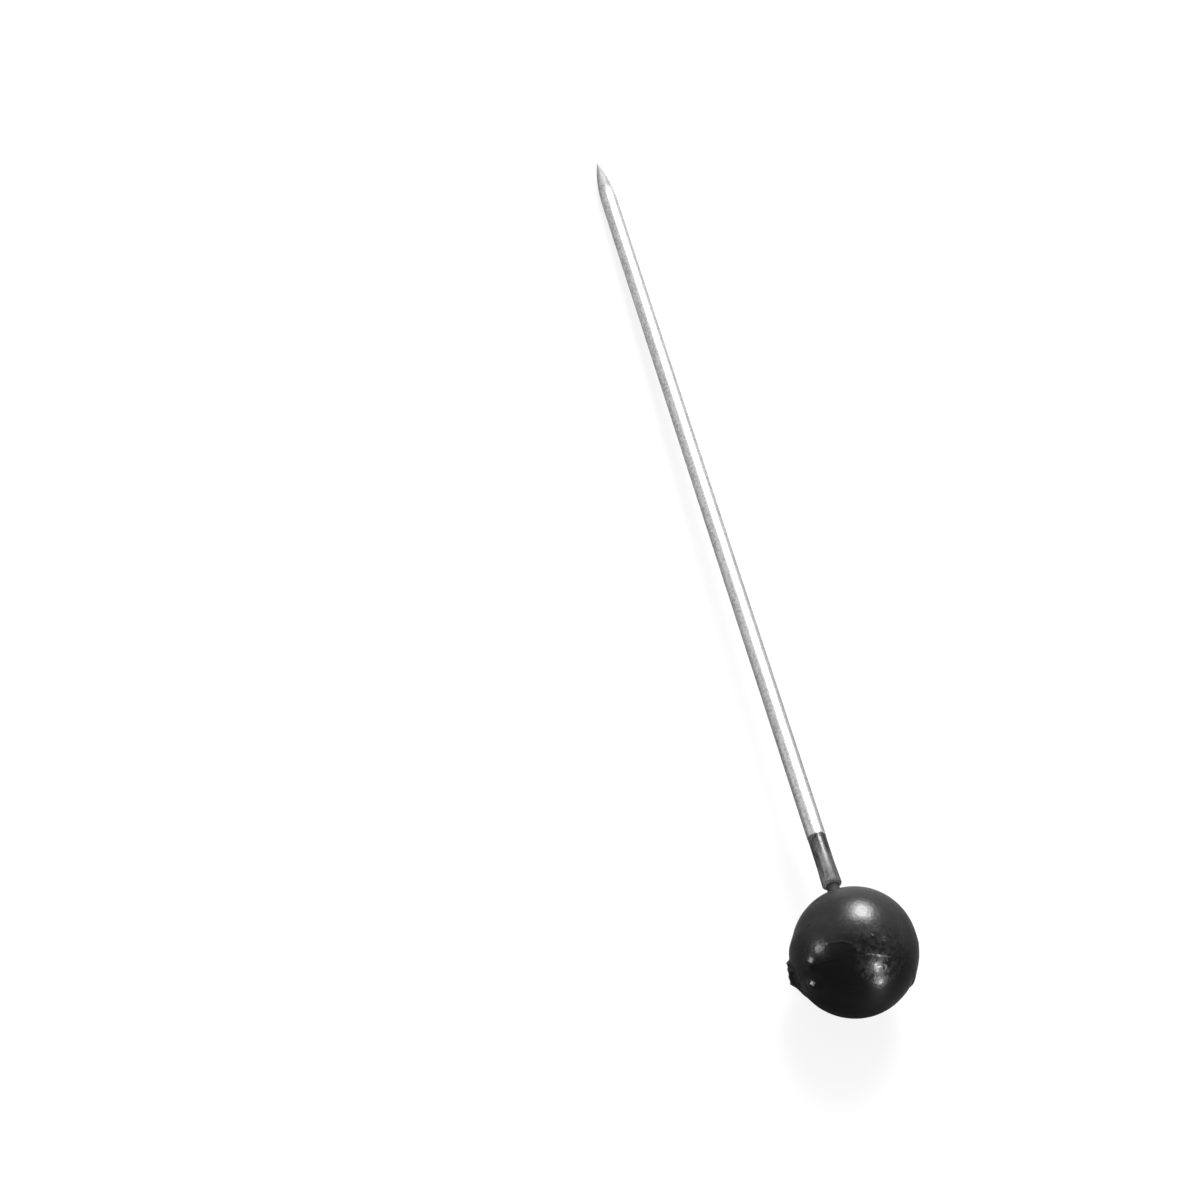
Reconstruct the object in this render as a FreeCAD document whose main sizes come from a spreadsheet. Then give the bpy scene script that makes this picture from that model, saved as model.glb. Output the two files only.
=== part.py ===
import FreeCAD, Part
import os

import Sketcher

# A straight pin with a moulded ball head, lying on a flat surface as it comes to rest: on the head and
# on the heel of the point. It is two pieces: a steel wire, and a black ball head pressed onto its tang.
# Both are drawn along the wire's own axis (X, from the centre of the head to the tip) and then tilted.
# The frame's origin is on the surface, below the middle of the pin, with +X to the tip and +Z up.

NODES = {"wire": "pin_wire", "head": "ball_head"}

SIZES = [
    # the wire, from the head's mouth to the tip
    ("overall_length", 38.1, "back of the head to the tip, along the wire"),
    ("wire_dia", 0.60, "drawn wire"),
    ("tang_dia", 0.40, "tang that the head is pressed onto"),
    ("tang_end", 1.20, "end of the tang, past the middle of the head"),
    ("neck_length", 0.415, "bare tang between the head's mouth and the wire's square shoulder"),
    ("shoulder_dia", 0.62, "wire spread at its shoulder"),
    ("flare_length", 0.79, "length over which the spread runs out"),
    ("grip_dia", 0.575, "wire pinched by the heading dies"),
    ("grip_length", 0.95, "pinched length"),
    ("grip_runout", 0.28, "length over which it comes back to full size"),
    ("point_length", 2.00, "ground point"),
    ("point_curve", 9.90, "radius of the ground flank, along the wire"),
    ("tip_dia", 0.03, "blunt end left by grinding"),
    # the mould that made the head, whose axis isn't quite the wire's
    ("mould_pitch", 6.7, "mould axis above the wire, degrees"),
    ("mould_yaw", -9.2, "mould axis to the side of the wire, degrees"),
    ("near_radius", 1.90, "half of the head on the wire's side"),
    ("near_offset", 0.045, "centre of that half, along the mould axis"),
    ("near_shift", 0.025, "mismatch of that half, sideways"),
    ("near_lift", 0.03, "mismatch of that half, upwards"),
    ("far_radius", 1.915, "half of the head away from the wire"),
    ("far_offset", 0.08, "centre of that half, back along the mould axis"),
    ("band_radius", 1.95, "parting band between the halves"),
    ("band_offset", 0.02, "centre of the band, back along the mould axis"),
    ("seam_at", 0.10, "parting seam, along the mould axis"),
    ("ledge_at", 0.935, "ledge that ends the band, back along the mould axis"),
    ("ridge_rise", 0.045, "ridge of flash along the ledge, out from the band"),
    ("ridge_run", 0.22, "length over which the band rises to that ridge"),
    # the stub of the gate, cut off at a slant to the head
    ("gate_yaw", -5.3, "axis of the stub, turned from square to the wire, degrees"),
    ("gate_roll", -10.9, "the same, below the level of the wire, degrees"),
    ("gate_back", 0.27, "stub's axis behind the middle of the head"),
    ("gate_drop", 0.17, "stub's axis below the middle of the head"),
    ("gate_stand", 0.08, "cut face of the stub, out from the band's radius"),
    ("gate_sunk", 0.37, "foot of the stub, in from the band's radius"),
    ("gate_dia", 0.65, "cut face of the stub"),
    ("gate_flank", 45.0, "slope of its flank from the cut face, degrees"),
    # plastic raised round the tang as the head was pressed on
    ("bead_stand", 0.045, "top of the bead, out from the head's mouth"),
    ("bead_sunk", 0.245, "foot of the bead, in from the head's mouth"),
    ("bead_dia", 0.56, "top of the bead"),
    ("bead_foot_dia", 0.92, "foot of the bead"),
]

doc = FreeCAD.newDocument("straight_pin")


def fill_sheet():
    """Write every driving size into the document's sheet, one aliased cell each."""
    sheet = doc.addObject("Spreadsheet::Sheet", "sizes")
    for row, (alias, value, note) in enumerate(SIZES, start=1):
        sheet.set(f"A{row}", note)
        sheet.set(f"B{row}", str(value))
        sheet.setAlias(f"B{row}", alias)
    doc.recompute()


fill_sheet()

# Places along the wire that follow from the driving sizes, as expressions on the sheet.
CENTRE_TO_TIP = "(sizes.overall_length - sizes.far_radius - sizes.far_offset)"
POINT_START = f"({CENTRE_TO_TIP} - sizes.point_length)"
MOUTH = "(sizes.near_radius + sizes.near_offset)"
SHOULDER = f"({MOUTH} + sizes.neck_length)"
FLARE_END = f"({SHOULDER} + sizes.flare_length)"
GRIP_END = f"({FLARE_END} + sizes.grip_length)"

# The pin rests on the lowest point of the band and on the heel of the point, so its tilt solves
# along * sin(tilt) + across * cos(tilt) = band_radius.
MOULD_X = "(cos(sizes.mould_yaw * 1 deg) * cos(sizes.mould_pitch * 1 deg))"
MOULD_Z = "(cos(sizes.mould_yaw * 1 deg) * sin(sizes.mould_pitch * 1 deg))"
ALONG = f"({POINT_START} + sizes.band_offset * {MOULD_X})"
ACROSS = f"(sizes.wire_dia / 2 - sizes.band_offset * {MOULD_Z})"
TILT = f"(asin(sizes.band_radius / sqrt({ALONG}^2 + {ACROSS}^2)) - atan({ACROSS} / {ALONG}))"
HEAD_HEIGHT = f"({POINT_START} * sin({TILT}) + sizes.wire_dia / 2 * cos({TILT}))"
HEAD_X = f"(-({CENTRE_TO_TIP} * cos({TILT}) - sizes.far_radius - sizes.far_offset) / 2)"
REST = f"placement(vector({HEAD_X}; 0; {HEAD_HEIGHT}); rotation(0; {TILT}; 0))"

# The mould's axis as a turn of a sketch that lies on a body's XZ plane.
MOULD_TURN = "rotation(sizes.mould_pitch; sizes.mould_yaw; 0)"


def new_body(label):
    """Make an empty body with its label, placed as the pin rests."""
    body = doc.addObject("PartDesign::Body", label)
    body.Label = label
    body.setExpression("Placement", REST)
    return body


def origin_plane(body, role):
    """Return the body's own origin plane that has this role."""
    return next(feature for feature in body.Origin.OriginFeatures if feature.Role == role)


def evaluate(owner, expression):
    """Return the number that an expression on the sheet gives now."""
    value = owner.evalExpression(expression)
    return float(getattr(value, "Value", value))


def bound_sketch(body, name, corners, arcs=(), plane="XZ_Plane", offset=None):
    """Draw a closed outline whose every corner and arc is bound to the sheet.

    corners: (along, out) pairs of expressions in the sketch's plane, clockwise round the outline.
    arcs: (corner, radius expression) pairs; the side from that corner on bulges out by that radius,
    and the other sides are straight.
    offset: expression for the sketch's attachment offset, if it is turned or moved off the plane.
    """
    sketch = body.newObject("Sketcher::SketchObject", name)
    sketch.AttachmentSupport = (origin_plane(body, plane), "")
    sketch.MapMode = "FlatFace"
    if offset:
        sketch.setExpression("AttachmentOffset", offset)
    radius_of = dict(arcs)
    places = [FreeCAD.Vector(evaluate(sketch, along), evaluate(sketch, out), 0) for along, out in corners]
    for side, start in enumerate(places):
        end = places[(side + 1) % len(places)]
        if side in radius_of:
            sketch.addGeometry(outward_arc(start, end, evaluate(sketch, radius_of[side])), False)
        else:
            sketch.addGeometry(Part.LineSegment(start, end), False)
    for side, (along, out) in enumerate(corners):
        before = (side - 1) % len(corners)
        here = start_point(side in radius_of)
        there = end_point(before in radius_of)
        sketch.addConstraint(Sketcher.Constraint("Coincident", before, there, side, here))
        bind(sketch, "DistanceX", side, here, along)
        bind(sketch, "DistanceY", side, here, out)
    for side, radius in arcs:
        index = sketch.addConstraint(Sketcher.Constraint("Radius", side, evaluate(sketch, radius)))
        sketch.setExpression(f"Constraints[{index}]", radius)
    return sketch


def outward_arc(start, end, radius):
    """Return the minor arc of this radius that bulges to the left of the way from start to end."""
    chord = end - start
    left = FreeCAD.Vector(-chord.y, chord.x, 0).normalize()
    rise = radius - (radius ** 2 - (chord.Length / 2) ** 2) ** 0.5
    return Part.Arc(start, (start + end) / 2 + left * rise, end)


def start_point(is_arc):
    """Return the sketch's number for a side's start: its arcs are kept anticlockwise."""
    return 2 if is_arc else 1


def end_point(is_arc):
    """Return the sketch's number for a side's end."""
    return 1 if is_arc else 2


def bind(sketch, kind, side, point, expression):
    """Tie one coordinate of a point to an expression, or hold it on its axis where that is zero."""
    if expression == "0":
        axis = -1 if kind == "DistanceY" else -2
        sketch.addConstraint(Sketcher.Constraint("PointOnObject", side, point, axis))
        return
    value = evaluate(sketch, expression)
    index = sketch.addConstraint(Sketcher.Constraint(kind, -1, 1, side, point, value))
    sketch.setExpression(f"Constraints[{index}]", expression)


def turn(body, kind, name, sketch, axis="H_Axis"):
    """Turn a sketch once round one of its own axes, as added or cut-away material."""
    feature = body.newObject(kind, name)
    feature.Profile = sketch
    feature.ReferenceAxis = (sketch, [axis])
    feature.Angle = 360.0
    doc.recompute()
    return feature


def build_wire():
    """The wire: tang, square shoulder, pinched grip, shaft and ground point, in one turned outline."""
    body = new_body(NODES["wire"])
    outline = bound_sketch(body, "wire_outline", [
        ("-sizes.tang_end", "0"),
        ("-sizes.tang_end", "sizes.tang_dia / 2"),
        (SHOULDER, "sizes.tang_dia / 2"),
        (SHOULDER, "sizes.shoulder_dia / 2"),
        (FLARE_END, "sizes.grip_dia / 2"),
        (GRIP_END, "sizes.grip_dia / 2"),
        (f"{GRIP_END} + sizes.grip_runout", "sizes.wire_dia / 2"),
        (POINT_START, "sizes.wire_dia / 2"),
        (CENTRE_TO_TIP, "sizes.tip_dia / 2"),
        (CENTRE_TO_TIP, "0"),
    ], arcs=[(7, "sizes.point_curve")])
    turn(body, "PartDesign::Revolution", "turned_wire", outline)
    return body


def build_head():
    """The moulded head: two unlike halves and their band, gate stub, bead, and bore for the tang."""
    body = new_body(NODES["head"])
    add_far_half(body)
    add_near_half(body)
    add_gate_stub(body)
    add_bead(body)
    cut_bore(body)
    return body


def add_far_half(body):
    """The half away from the wire with the parting band, which rises to a ridge and ends in a ledge."""
    ledge_foot = "sqrt(sizes.far_radius^2 - (sizes.ledge_at - sizes.far_offset)^2)"
    ledge_crest = "sqrt(sizes.band_radius^2 - (sizes.ledge_at - sizes.band_offset)^2) + sizes.ridge_rise"
    ridge_start = "sqrt(sizes.band_radius^2 - (sizes.ledge_at - sizes.ridge_run - sizes.band_offset)^2)"
    seam_crest = "sqrt(sizes.band_radius^2 - (sizes.seam_at + sizes.band_offset)^2)"
    outline = bound_sketch(body, "far_outline", [
        ("-sizes.far_radius - sizes.far_offset", "0"),
        ("-sizes.ledge_at", ledge_foot),
        ("-sizes.ledge_at", ledge_crest),
        ("-sizes.ledge_at + sizes.ridge_run", ridge_start),
        ("sizes.seam_at", seam_crest),
        ("sizes.seam_at", "0"),
    ], arcs=[(0, "sizes.far_radius"), (3, "sizes.band_radius")],
        offset=f"placement(vector(0; 0; 0); {MOULD_TURN})")
    turn(body, "PartDesign::Revolution", "far_half_and_band", outline)


def add_near_half(body):
    """The half on the wire's side, a little smaller and out of line with the other in its mould."""
    outline = bound_sketch(body, "near_outline", [
        ("0", "0"),
        ("0", "sqrt(sizes.near_radius^2 - sizes.near_offset^2)"),
        (MOUTH, "0"),
    ], arcs=[(1, "sizes.near_radius")],
        offset=f"placement(vector(0; sizes.near_lift; sizes.near_shift); {MOULD_TURN})")
    turn(body, "PartDesign::Revolution", "near_half", outline)


def add_gate_stub(body):
    """The gate's stub on the band: a low cone whose cut face isn't square to the head."""
    face = "(sizes.band_radius + sizes.gate_stand)"
    foot = "(sizes.band_radius - sizes.gate_sunk)"
    foot_radius = f"(sizes.gate_dia / 2 + ({face} - {foot}) / tan(sizes.gate_flank * 1 deg))"
    outline = bound_sketch(body, "gate_outline", [
        ("0", foot),
        ("0", face),
        ("sizes.gate_dia / 2", face),
        (foot_radius, foot),
    ], plane="XY_Plane",
        offset="placement(vector(-sizes.gate_back; 0; -sizes.gate_drop);"
               " rotation(sizes.gate_yaw; 0; sizes.gate_roll))")
    turn(body, "PartDesign::Revolution", "gate_stub", outline, axis="V_Axis")


def add_bead(body):
    """The low bead that the hot tang raised round itself."""
    top = f"({MOUTH} + sizes.bead_stand)"
    foot = f"({MOUTH} - sizes.bead_sunk)"
    outline = bound_sketch(body, "bead_outline", [
        (foot, "0"),
        (foot, "sizes.bead_foot_dia / 2"),
        (top, "sizes.bead_dia / 2"),
        (top, "0"),
    ])
    turn(body, "PartDesign::Revolution", "bead", outline)


def cut_bore(body):
    """The blind bore, which holds the tang all round and at its end."""
    solid_volume = body.Shape.Volume
    outline = bound_sketch(body, "bore_outline", [
        ("-sizes.tang_end", "0"),
        ("-sizes.tang_end", "sizes.tang_dia / 2"),
        (SHOULDER, "sizes.tang_dia / 2"),
        (SHOULDER, "0"),
    ])
    turn(body, "PartDesign::Groove", "bore", outline)
    if body.Shape.Volume >= solid_volume:
        raise RuntimeError("the bore cuts nothing")


def check(bodies):
    """Stop if any object of the document failed, or a piece isn't one valid solid."""
    for thing in doc.Objects:
        if "Invalid" in thing.State or "Error" in thing.State:
            raise RuntimeError(f"{thing.Name}: {thing.State}")
    for body in bodies:
        shape = body.Shape
        if shape.isNull() or not shape.isValid() or len(shape.Solids) != 1:
            raise RuntimeError(f"{body.Label} isn't one valid solid")


bodies = [build_wire(), build_head()]
doc.recompute()
check(bodies)
os.makedirs("parts", exist_ok=True)
for body in bodies:
    body.Shape.exportStep(f"parts/{body.Label}.step")
    box = body.Shape.BoundBox
    print(f"{body.Label}: volume {body.Shape.Volume:.3f} mm3, x {box.XMin:.3f} to {box.XMax:.3f},"
          f" y {box.YMin:.3f} to {box.YMax:.3f}, z {box.ZMin:.3f} to {box.ZMax:.3f}")
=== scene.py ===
"""Looks of a straight pin: its drawn wire, its moulded ball head, and the studio it is seen in.

Shapes are worked out in millimetres in the pin's own frame, with X along the wire from the middle of the
head, Y to the side of the gate stub and Z up, and are then laid down as the pin rests.
"""

import logging
import math
from dataclasses import dataclass
from enum import Enum
from typing import Any, Sequence

import bpy
import numpy as np
from mathutils import Matrix, Vector


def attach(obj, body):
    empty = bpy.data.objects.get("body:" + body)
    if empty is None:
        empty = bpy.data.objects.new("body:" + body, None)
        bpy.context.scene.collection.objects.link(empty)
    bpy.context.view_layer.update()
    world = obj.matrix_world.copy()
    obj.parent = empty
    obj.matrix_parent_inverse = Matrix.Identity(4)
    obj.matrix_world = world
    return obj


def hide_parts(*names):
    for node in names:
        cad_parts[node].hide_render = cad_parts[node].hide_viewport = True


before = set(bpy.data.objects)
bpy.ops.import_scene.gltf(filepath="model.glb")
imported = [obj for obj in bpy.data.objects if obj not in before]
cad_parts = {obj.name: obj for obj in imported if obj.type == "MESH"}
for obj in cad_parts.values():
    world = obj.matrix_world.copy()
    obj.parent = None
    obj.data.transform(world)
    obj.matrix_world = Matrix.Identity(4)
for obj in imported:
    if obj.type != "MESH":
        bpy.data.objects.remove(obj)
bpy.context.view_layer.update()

MM = 0.001
BODY = "root"
PHOTO_SIDE = 1200

# Octaves of a noise and the strength of each finer one
ROUGH_NOISE = (3.0, 0.6)
SOFT_NOISE = (1.0, 0.5)

log = logging.getLogger("straight_pin")


class Node(Enum):
    """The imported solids, by name."""

    WIRE = "pin_wire"
    HEAD = "ball_head"


class Slot(Enum):
    """The record's material slots."""

    WIRE = "plated_wire"
    HEAD = "head_plastic"


class MarkKind(Enum):
    """What a moulding mark does to the surface."""

    LUMP = "lump"
    RING = "ring"
    RIDGE = "ridge"


# Node graphs


class Value:
    """A socket that takes part in Python expressions and adds the Math nodes that they need."""

    def __init__(self, graph: "Graph", socket: bpy.types.NodeSocket | None) -> None:
        """Wrap one output socket of a graph, or none where a node ends the tree."""
        self.graph = graph
        self.socket = socket

    @property
    def is_vector(self) -> bool:
        """Whether the socket carries a vector."""
        return self.socket.type == "VECTOR"

    def __add__(self, term: "Value | float") -> "Value":
        """Return self + term."""
        return self.graph.combine("ADD", self, term)

    __radd__ = __add__

    def __sub__(self, term: "Value | float") -> "Value":
        """Return self - term."""
        return self.graph.combine("SUBTRACT", self, term)

    def __rsub__(self, term: "Value | float") -> "Value":
        """Return term - self."""
        return self.graph.combine("SUBTRACT", term, self)

    def __mul__(self, factor: "Value | float") -> "Value":
        """Return self * factor."""
        return self.graph.combine("MULTIPLY", self, factor)

    __rmul__ = __mul__

    def __truediv__(self, divisor: "Value | float") -> "Value":
        """Return self / divisor."""
        return self.graph.combine("DIVIDE", self, divisor)

    def __pow__(self, power: float) -> "Value":
        """Return self to a power."""
        return self.graph.math("POWER", self, power)


class Graph:
    """A node tree that is written as Python expressions."""

    def __init__(self, tree: bpy.types.NodeTree) -> None:
        """Start on an empty tree."""
        self.tree = tree
        tree.nodes.clear()

    def add(self, kind: str, settings: dict[str, Any] | None = None,
            inputs: dict[str | int, Any] | None = None, output: str | int = 0) -> Value:
        """Add a node, set it up, and then set or link its sockets.

        Args:
            kind: the node's type.
            settings: its properties.
            inputs: values or linked Values by socket name or number.
            output: the output socket that is returned.

        Returns:
            The chosen output as a Value.
        """
        node = self.tree.nodes.new(kind)
        for name, setting in (settings or {}).items():
            setattr(node, name, setting)
        for key, value in (inputs or {}).items():
            if isinstance(value, Value):
                self.tree.links.new(value.socket, node.inputs[key])
            else:
                node.inputs[key].default_value = value
        return Value(self, node.outputs[output] if len(node.outputs) else None)

    def math(self, operation: str, *terms: "Value | float", clamp: bool = False) -> Value:
        """Return a Math node's result.

        Args:
            operation: the node's operation.
            terms: its operands in order.
            clamp: whether the result is held between 0 and 1.

        Returns:
            The result.
        """
        return self.add("ShaderNodeMath", {"operation": operation, "use_clamp": clamp},
                        dict(enumerate(terms)))

    def vector(self, operation: str, *terms: "Value | Sequence[float]", output: str = "Vector") -> Value:
        """Return a Vector Math node's result.

        Args:
            operation: the node's operation.
            terms: its vector operands in order.
            output: "Vector" or "Value".

        Returns:
            The result.
        """
        return self.add("ShaderNodeVectorMath", {"operation": operation}, dict(enumerate(terms)), output)

    def combine(self, operation: str, first: "Value | float", second: "Value | float") -> Value:
        """Return first and second under one of the four rules, as a number or as a vector.

        Args:
            operation: ADD, SUBTRACT, MULTIPLY or DIVIDE.
            first: left operand.
            second: right operand.

        Returns:
            The result.
        """
        vectors = [term for term in (first, second) if isinstance(term, Value) and term.is_vector]
        if not vectors:
            return self.math(operation, first, second)
        if operation == "MULTIPLY" and len(vectors) == 1:
            number = second if vectors[0] is first else first
            return self.add("ShaderNodeVectorMath", {"operation": "SCALE"},
                            {"Vector": vectors[0], "Scale": number})
        return self.vector(operation, first, second)

    def dot(self, first: "Value", second: "Value | Sequence[float]") -> Value:
        """Return the dot product of two vectors."""
        return self.vector("DOT_PRODUCT", first, second, output="Value")

    def smooth(self, value: Value, low: float, high: float) -> Value:
        """Return 0 below low and 1 above high, with a smooth step between.

        Args:
            value: what is compared.
            low: where the step starts.
            high: where it ends.

        Returns:
            The step, from 0 to 1.
        """
        return self.add("ShaderNodeMapRange", {"interpolation_type": "SMOOTHSTEP"},
                        {"Value": value, "From Min": low, "From Max": high})

    def noise(self, place: Value, scale: "Value | float", detail: float, roughness: float) -> Value:
        """Return a noise pattern that is centred on zero, about half a unit to each side.

        Args:
            place: where it is read.
            scale: its features per unit.
            detail: octaves.
            roughness: strength of each finer octave.

        Returns:
            The noise.
        """
        fac = self.add("ShaderNodeTexNoise", {"noise_dimensions": "3D"},
                       {"Vector": place, "Scale": scale, "Detail": detail, "Roughness": roughness})
        return fac - 0.5

    def mix(self, share: "Value | float", low: "Value | float", high: "Value | float") -> Value:
        """Return low where share is 0 and high where it is 1."""
        return low + (high - low) * share

    def grey_colour(self, level: Value) -> Value:
        """Return a grey colour of this level."""
        return self.add("ShaderNodeCombineColor", None, {"Red": level, "Green": level, "Blue": level})


class ShapeGraph(Graph):
    """A Geometry Nodes tree with named inputs that turns one mesh into another."""

    def __init__(self, name: str) -> None:
        """Make the tree with its geometry sockets.

        Args:
            name: the tree's name.
        """
        super().__init__(bpy.data.node_groups.new(name, "GeometryNodeTree"))
        interface = self.tree.interface
        interface.new_socket("Geometry", in_out="INPUT", socket_type="NodeSocketGeometry")
        interface.new_socket("Geometry", in_out="OUTPUT", socket_type="NodeSocketGeometry")
        self.entry = self.tree.nodes.new("NodeGroupInput")
        self.identifiers: dict[str, str] = {}

    @property
    def geometry(self) -> Value:
        """The geometry that comes in."""
        return Value(self, self.entry.outputs["Geometry"])

    def given(self, name: str, kind: str = "Float") -> Value:
        """Declare a named input.

        Args:
            name: its name on the modifier.
            kind: Float, Int or Material.

        Returns:
            The input as a Value.
        """
        socket = self.tree.interface.new_socket(name, in_out="INPUT", socket_type="NodeSocket" + kind)
        self.identifiers[name] = socket.identifier
        return Value(self, self.entry.outputs[name])

    def close(self, geometry: Value) -> None:
        """End the tree with smooth faces, realised instances and the given material.

        Args:
            geometry: the finished geometry.
        """
        smooth = self.add("GeometryNodeSetShadeSmooth", None, {"Geometry": geometry})
        real = self.add("GeometryNodeRealizeInstances", None, {"Geometry": smooth})
        dressed = self.add("GeometryNodeSetMaterial", None,
                           {"Geometry": real, "Material": self.given("Material", "Material")})
        self.add("NodeGroupOutput", None, {"Geometry": dressed})

    def run(self, mesh: bpy.types.Mesh, values: dict[str, Any]) -> bpy.types.Mesh:
        """Put a mesh through the tree.

        Args:
            mesh: what goes in.
            values: the named inputs.

        Returns:
            A plain mesh.
        """
        holder = bpy.data.objects.new(mesh.name, mesh)
        modifier = holder.modifiers.new(self.tree.name, "NODES")
        modifier.node_group = self.tree
        for name, value in values.items():
            modifier[self.identifiers[name]] = value
        bpy.context.scene.collection.objects.link(holder)
        graph = bpy.context.evaluated_depsgraph_get()
        result = bpy.data.meshes.new_from_object(holder.evaluated_get(graph))
        holder.modifiers.remove(modifier)
        bpy.data.objects.remove(holder)
        bpy.data.meshes.remove(mesh)
        return result


def grey(level: float) -> tuple[float, float, float, float]:
    """Return an opaque grey."""
    return level, level, level, 1.0


def unit(vector: Sequence[float]) -> np.ndarray:
    """Return the vector with length one."""
    array = np.asarray(vector, float)
    return array / np.linalg.norm(array)


def smooth_step(value: np.ndarray, low: float, high: float) -> np.ndarray:
    """Return 0 below low and 1 above high, with a smooth step between."""
    share = np.clip((value - low) / (high - low), 0.0, 1.0)
    return share * share * (3.0 - 2.0 * share)


def reach(ways: np.ndarray, centre: np.ndarray, radius: float) -> np.ndarray:
    """Return how far the skin of a sphere is from the origin.

    Args:
        ways: directions of length one.
        centre: the sphere's centre.
        radius: its radius.

    Returns:
        One length for each direction.
    """
    along = ways @ centre
    return along + np.sqrt(radius ** 2 - centre @ centre + along ** 2)


def on_head(from_wire: float, turn: float) -> np.ndarray:
    """Return the direction of a place on the head.

    Args:
        from_wire: angle from the wire, degrees.
        turn: angle round the wire from the top towards the gate, degrees.

    Returns:
        The direction, of length one.
    """
    polar, round_wire = math.radians(from_wire), math.radians(turn)
    return np.array([math.cos(polar), math.sin(polar) * math.sin(round_wire),
                     math.sin(polar) * math.cos(round_wire)])


def aim(azimuth: float, elevation: float) -> Vector:
    """Return the direction with this azimuth and elevation, in degrees."""
    turn, rise = math.radians(azimuth), math.radians(elevation)
    return Vector((math.cos(rise) * math.cos(turn), math.cos(rise) * math.sin(turn), math.sin(rise)))


def soft_max(first: np.ndarray, second: np.ndarray, blend: float) -> np.ndarray:
    """Return the larger of two heights, rounded over this width where they cross."""
    overlap = np.clip(1.0 - np.abs(first - second) / blend, 0.0, 1.0)
    return np.maximum(first, second) + overlap * overlap * blend / 4.0


# Where the pin lies


@dataclass(frozen=True)
class Rest:
    """How the pin lies: on the band of its head and on the heel of its point, in millimetres."""

    overall_length: float = 38.1
    wire_radius: float = 0.30
    point_length: float = 2.0
    far_radius: float = 1.915
    far_offset: float = 0.08
    band_radius: float = 1.95
    band_offset: float = 0.02
    mould_pitch: float = 6.7
    mould_yaw: float = -9.2

    @property
    def mould_axis(self) -> np.ndarray:
        """Direction of the mould in the pin's frame."""
        pitch, yaw = math.radians(self.mould_pitch), math.radians(self.mould_yaw)
        return np.array([math.cos(yaw) * math.cos(pitch), math.sin(yaw), math.cos(yaw) * math.sin(pitch)])

    @property
    def centre_to_tip(self) -> float:
        """Length from the middle of the head to the tip."""
        return self.overall_length - self.far_radius - self.far_offset

    @property
    def point_start(self) -> float:
        """Where the ground point starts."""
        return self.centre_to_tip - self.point_length

    @property
    def tilt(self) -> float:
        """Slope of the wire down to the tip.

        Returns:
            The angle at which the band and the heel of the point both touch the surface, in radians.
        """
        axis = self.mould_axis
        along = self.point_start + self.band_offset * axis[0]
        across = self.wire_radius - self.band_offset * axis[2]
        return math.asin(self.band_radius / math.hypot(along, across)) - math.atan(across / along)

    @property
    def head_height(self) -> float:
        """Height of the middle of the head above the surface."""
        return self.point_start * math.sin(self.tilt) + self.wire_radius * math.cos(self.tilt)

    @property
    def head_place(self) -> float:
        """Place of the middle of the head along the surface."""
        return -(self.centre_to_tip * math.cos(self.tilt) - self.far_radius - self.far_offset) / 2.0

    @property
    def matrix(self) -> Matrix:
        """From the pin's frame in millimetres to the row's frame in metres."""
        place = Matrix.Translation(Vector((self.head_place, 0.0, self.head_height)) * MM)
        return place @ Matrix.Rotation(self.tilt, 4, "Y") @ Matrix.Scale(MM, 4)

    def pattern_place(self, graph: Graph) -> Value:
        """Return the shaded point in the pin's frame, in millimetres, from Object coordinates.

        Args:
            graph: the material's tree.

        Returns:
            The place as a vector.
        """
        coordinates = graph.add("ShaderNodeTexCoord", output="Object")
        back = self.matrix.inverted()
        return graph.add("ShaderNodeMapping", {"vector_type": "POINT"}, {
            "Vector": coordinates,
            "Location": back.to_translation(),
            "Rotation": back.to_euler(),
            "Scale": back.to_scale(),
        })


REST = Rest()


def add_piece(name: str, mesh: bpy.types.Mesh, node: Node) -> bpy.types.Object:
    """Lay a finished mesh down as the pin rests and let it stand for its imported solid.

    Args:
        name: the piece's name.
        mesh: its mesh, in the pin's frame.
        node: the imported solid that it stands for.

    Returns:
        The new object.
    """
    mesh.name = name
    mesh.transform(REST.matrix)
    mesh.update()
    piece = bpy.data.objects.new(name, mesh)
    bpy.context.scene.collection.objects.link(piece)
    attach(piece, BODY)
    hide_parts(node.value)
    log.info("%s: %d points, %d faces", name, len(mesh.vertices), len(mesh.polygons))
    return piece


# Finishes


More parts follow.
